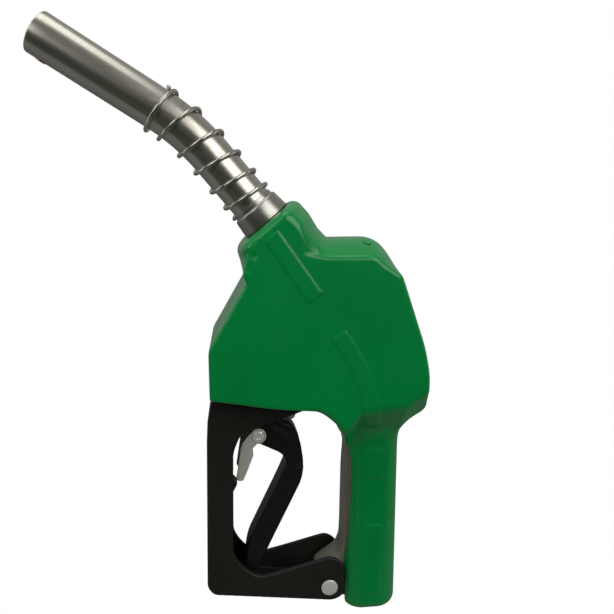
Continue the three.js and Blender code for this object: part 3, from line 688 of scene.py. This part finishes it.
# ---- guard ----
CHEEK = rounded([
    (-96.4, 149.2, 1), (-99.6, 131), (-100.3, 119), (-102.5, 24, 5), (-98.6, 18.9, 2.5), (-24, 9.6, 4),
    (-17.4, 13, 4), (-17.4, 34, 6), (-25, 40.2, 5), (-54, 32.8, 10), (-71, 29, 6), (-81, 37, 6),
    (-86.3, 46, 4), (-85.6, 87), (-85.1, 111, 5), (-80.5, 122, 3), (-74, 125, 3), (-41, 136.3, 1),
    (-40, 142.6), (-94, 146.2), (-94, 149.2),
])
RIM = rounded([
    (-96.4, 149.2, 1), (-99.6, 131), (-100.3, 119), (-102.5, 24, 5), (-98.6, 18.9, 2.5), (-40, 11.6),
    (-40, 14.6), (-95.8, 21.6, 3), (-99.4, 27, 4), (-97.3, 119), (-96.6, 131), (-94, 146.1), (-94, 149.2),
])
TOP_WEB = rounded([(-96, 146.3), (-95.2, 142.8), (-80, 142.2), (-80, 145.3)])
RACK = rounded([(-99, 90), (-99, 79), (-86, 80.4, 1), (-82.8, 86.6, 0.6), (-85.4, 89.2, 0.6)], 4)


def guard_field(x, y, z):
    """The guard: two cheeks joined by the outer rim, with the clip's rack tooth and a short scored line."""
    across = np.abs(y)
    cheek = outline_field(CHEEK, x, z)
    web = np.minimum(outline_field(RIM, x, z), outline_field(TOP_WEB, x, z))
    tooth = corner(outline_field(RACK, x, z), across - 4.5, 0.6)
    shell = corner(cheek, across - GUARD_HALF, 1.3)
    hollow = corner(-web, across - GUARD_INNER_HALF, 0.8)
    made = np.minimum(np.maximum(shell, -hollow), tooth)
    made = bored(made, x, y, z, GUARD_PIN, GUARD_PIN_HOLE, 0.3)
    made = less(made, screw_holes(x, y, z, 300))
    line = np.abs((x + 93.0) * 0.684 + (z - 137.6) * 0.729)
    seam = 0.22 * smoothstep(0.55 - line, 0, 0.5) * ((x > -93) & (x < -77)) * (across > 14)
    return made + seam


moulded("guard_frame", guard_field, (-105, -17, 7), (-15, 17, 151), 0.7, "body", "black_plastic", nylon,
        ["guard"])


# ---- hold-open clip ----
BLADE = rounded([
    (-73.8, 122.5, 2.5), (-80.3, 114.5, 3), (-81.4, 107), (-83.5, 93.4, 1), (-82.6, 91.6, 0.6),
    (-79.6, 91.6, 0.6), (-77.4, 96.5, 2), (-72.9, 108.2, 1), (-74, 111.6, 2), (-70, 115, 2),
])
WEB = rounded([(-74.4, 108.6), (-81, 92.2), (-79.6, 91.7), (-77.4, 96.5, 2), (-73, 108)])


def clip_field(x, y, z):
    """The clip: a plate each side of the lever, joined by a web near its free end."""
    across = np.abs(y)
    plate = np.minimum(outline_field(BLADE, x, z), np.hypot(x - RIVET[0], z - RIVET[1]) - 4.8)
    plate = corner(plate, np.abs(across - 10.25) - 0.65, 0.35)
    web = corner(outline_field(WEB, x, z), across - 10.6, 0.4)
    made = merged(plate, web, 0.9)
    return bored(made, x, y, z, RIVET, RIVET_HOLE, 0.2)


moulded("clip_blade", clip_field, (-86, -12, 89), (-63, 12, 126), 0.3, "clip", "plated_steel", plated,
        ["hold_open_clip"])


# ---- turned metal ----
def pin_parts(place, shank, radius, head_radius, head, dish=0.0):
    """A pin across the thickness with a domed head at each end, its centre dished if asked."""
    half = [(0, shank + head - dish, 0), (head_radius * 0.35, shank + head - dish, 0.3),
            (head_radius * 0.5, shank + head - 0.05 * dish, 0.5),
            (head_radius * 0.8, shank + head * 0.78, 0.6), (head_radius, shank + head * 0.4, 0.3),
            (head_radius, shank, 0.15), (radius, shank, 0.1)]
    outline = [(r, -h, c) for r, h, c in half] + half[::-1]
    return turned(outline, cross_frame(place), 56)


link("rivet", *pin_parts(RIVET, 11.1, 2.2, 3.5, 0.9, 0.45), "clip", "plated_steel", pin_steel, ["clip_rivet"])
link("guard_pivot_pin", *pin_parts(GUARD_PIN, 15.5, 3.0, 5.2, 1.3, 0.0), "body", "plated_steel", pin_steel,
     ["guard_pin"])

collar_outline = [
    (12.2, -24, 0.3), (COLLAR_R, -24, 0.6), (COLLAR_R, -20, 0.2), (12.7, -20, 0.2), (12.7, -18, 0.2),
    (COLLAR_R, -18, 0.2), (COLLAR_R, 0.2, 0.1), (FLANGE_FOOT, 0.2, 0.5), (FLANGE_TOP, 9.9, 0.5),
    (FLANGE_TOP - 0.8, 10.9, 0.3), (12.75, 10.9, 0.1), (12.75, 13.2, 0.4), (12.2, 13.2, 0.2),
]
link("collar", *turned(collar_outline, nose_axis, 96), "body", "spout_metal", collar_metal, ["spout_collar"])
port_outline = [(1.3, 9, 0.2), (2.6, 9, 0.2), (2.6, 12.3, 0.35), (1.3, 12.3, 0.3)]
link("port_ring", *turned(port_outline, port_axis, 32), "body", "brass", brass, ["sensing_port"])


# ---- spout ----
def spout_rings(sides=80):
    """Rings up the outside of the tube, round its lip and back down the inside."""
    outs = [-3, 0, 12, 24, 36, *np.linspace(BEND_START, SPOUT_END - SPOUT_STRAIGHT, 16),
            *np.linspace(SPOUT_END - SPOUT_STRAIGHT, SPOUT_END - 0.7, 9)[1:]]
    profile = [(o, SPOUT_R) for o in outs]
    wall = (SPOUT_R - SPOUT_BORE) / 2
    for a in np.linspace(15, 165, 9):
        profile.append((SPOUT_END - 0.7 + 0.7 * math.sin(math.radians(a)),
                        SPOUT_BORE + wall + wall * math.cos(math.radians(a))))
    profile += [(o, SPOUT_BORE) for o in outs[::-1]]
    turn = np.linspace(0, 2 * math.pi, sides, endpoint=False)
    return [[spout_point(o, r * math.sin(a), r * math.cos(a)) for a in turn[::-1]] for o, r in profile]


link("spout", *lofted(spout_rings(), True), "body", "spout_metal", satin, ["spout_tube"])


def spring_rings(sides=14):
    """The wire's rings, from its free end near the tip to its cut end at the collar.

    outs says how far along the spout the wire is after each number of turns.
    """
    turns = [0, 0.5, 1, 1.5, 2.0, 2.75, 3.75, 4.75, 5.75, 6.5]
    outs = [86.8, 85.8, 82.9, 76.6, 68.6, 56.6, 42.8, 29.2, 18, 12.9]
    fine = np.linspace(0, 6.5, 521)
    kernel = np.hanning(41)
    padded = np.interp(np.linspace(-0.25, 6.75, 561), turns, outs)
    padded[:20] = 2 * outs[0] - padded[40:20:-1]
    padded[-20:] = 2 * outs[-1] - padded[-22:-42:-1]
    smooth = np.convolve(padded, kernel / kernel.sum(), "same")[20:541]
    centres = []
    for turn, out in zip(fine, smooth):
        a = 2 * math.pi * (turn - 0.5)
        centres.append(spout_point(out, -COIL_R * math.sin(a), -COIL_R * math.cos(a)))
    centres = np.array(centres)
    tangents = np.gradient(centres, axis=0)
    tangents /= np.linalg.norm(tangents, axis=1)[:, None]
    rings = []
    turn = np.linspace(0, 2 * math.pi, sides, endpoint=False)
    for i, (centre, tangent) in enumerate(zip(centres, tangents)):
        inward = centre - spout_point(smooth[i])
        inward -= tangent * (inward @ tangent)
        inward /= np.linalg.norm(inward)
        beside = np.cross(tangent, inward)
        rings.append([centre + WIRE_R * (math.cos(a) * inward + math.sin(a) * beside) for a in turn])
    return rings


link("spout_wire", *lofted(spring_rings(), False), "body", "spring_steel", wire_steel, ["spout_spring"])

# ---- every CAD node that stays ----
slot_of = {row["node"]: row["material_slot"] for row in frame["record"]["subparts"]}
for node_name, node in frame["nodes"].items():
    if not node.hide_render:
        node.data.materials.clear()
        node.data.materials.append(SLOT_MATERIALS[slot_of[node_name]])

# ---- floor, light and camera ----
def shown_white(tree, shader, white):
    """The given shader for light and reflections, plain white where it is looked at directly."""
    path = tree.nodes.new("ShaderNodeLightPath")
    pick = tree.nodes.new("ShaderNodeMixShader")
    tree.links.new(path.outputs["Is Camera Ray"], pick.inputs[0])
    tree.links.new(shader, pick.inputs[1])
    tree.links.new(white, pick.inputs[2])
    return pick.outputs[0]


floor_mesh = bpy.data.meshes.new("floor")
floor_mesh.from_pydata([(-1.6, -0.3, -0.25), (1.6, -0.3, -0.25), (1.6, 2.4, -0.25), (-1.6, 2.4, -0.25)], [],
                       [(0, 1, 2, 3)])
floor = bpy.data.objects.new("floor", floor_mesh)
bpy.context.scene.collection.objects.link(floor)
floor_nodes = Nodes("floor")
pale = floor_nodes.colours(floor_nodes.noise(3, 2), [(0.3, (0.27, 0.27, 0.27)), (0.7, (0.31, 0.31, 0.31))])
floor_mesh.materials.append(floor_nodes.into(Base_Color=pale, Roughness=0.9, Specular_IOR_Level=0.1))
bright = floor_nodes.node("Emission")
floor_out = floor_nodes.tree.nodes["Material Output"].inputs["Surface"]
floor_nodes.link(shown_white(floor_nodes.tree, floor_nodes.shader.outputs[0], bright.outputs[0]), floor_out)

world = bpy.data.worlds.new("studio")
bpy.context.scene.world = world
world.use_nodes = True
tree = world.node_tree
shown = tree.nodes["Background"]
shown.inputs["Color"].default_value = (1, 1, 1, 1)
lit = tree.nodes.new("ShaderNodeBackground")
toward = tree.nodes.new("ShaderNodeTexCoord")
split = tree.nodes.new("ShaderNodeSeparateXYZ")
times = tree.nodes.new("ShaderNodeMath")
times.operation = "MULTIPLY"
tree.links.new(toward.outputs["Generated"], split.inputs[0])
FRONT_TO_BACK = (0, "Y", -0.85, 0.7, FRONT_GLOW, BACK_GLOW)
LOW_TO_HIGH = (1, "Z", -0.6, 0.5, LOW_GLOW, 1.0)
for slot_number, axis, low, high, dim, full in (FRONT_TO_BACK, LOW_TO_HIGH):
    ramp = tree.nodes.new("ShaderNodeMapRange")
    ramp.interpolation_type = "SMOOTHSTEP"
    for key, value in zip(("From Min", "From Max", "To Min", "To Max"), (low, high, dim, full)):
        ramp.inputs[key].default_value = value
    tree.links.new(split.outputs[axis], ramp.inputs["Value"])
    tree.links.new(ramp.outputs[0], times.inputs[slot_number])
tree.links.new(times.outputs[0], lit.inputs["Strength"])
tree.links.new(shown_white(tree, lit.outputs[0], shown.outputs[0]), tree.nodes["World Output"].inputs[0])


CENTRE = Vector((-0.08, 0, 0.25))


def softbox(name, toward, distance, size, glow, upright=(0, 0, 1), tint=(1, 1, 1)):
    """An area light of a given brightness, seen from the middle of the nozzle in a given direction."""
    light = bpy.data.lights.new(name, "AREA")
    light.shape = "RECTANGLE"
    light.size, light.size_y = size
    light.energy = glow * math.pi * size[0] * size[1]
    light.color = tint
    away = Vector(toward).normalized()
    width = Vector(upright).cross(away).normalized()
    lamp = bpy.data.objects.new(name, light)
    lamp.location = CENTRE + away * distance
    lamp.rotation_euler = Matrix((width, away.cross(width), away)).transposed().to_euler()
    bpy.context.scene.collection.objects.link(lamp)


softbox("key", (0.52, -0.70, 0.46), 1.5, (0.8, 1.35), 2.7, (0.32, 0.57, 0.53))
softbox("fill_left", (-0.6, -0.65, 0.45), 1.6, (1.0, 1.0), 1.6)
softbox("top", (-0.15, -0.1, 1.0), 1.5, (1.4, 1.0), 1.7, (0, 1, 0))
softbox("right", (0.96, 0.12, -0.05), 1.6, (0.5, 1.3), 0.8)
softbox("left", (-0.97, 0.0, 0.1), 1.6, (0.5, 1.3), 0.9)
softbox("low_line", (-0.3, -0.68, -0.65), 1.4, (0.07, 1.0), 0.5, (-0.16, -0.04, 0.12), (0.9, 0.9, 0.3))

camera = bpy.data.cameras.new("camera")
camera.lens = FOCAL_SHARE * SENSOR
camera.sensor_width = SENSOR
eye = bpy.data.objects.new("camera", camera)
eye.location = EYE
ahead = Vector(AHEAD).normalized()
right = Vector(RIGHTWARD).normalized()
above = right.cross(ahead)
eye.rotation_euler = Matrix((right, above, -ahead)).transposed().to_euler()
bpy.context.scene.collection.objects.link(eye)
bpy.context.scene.camera = eye
bpy.context.scene.view_settings.view_transform = "Standard"
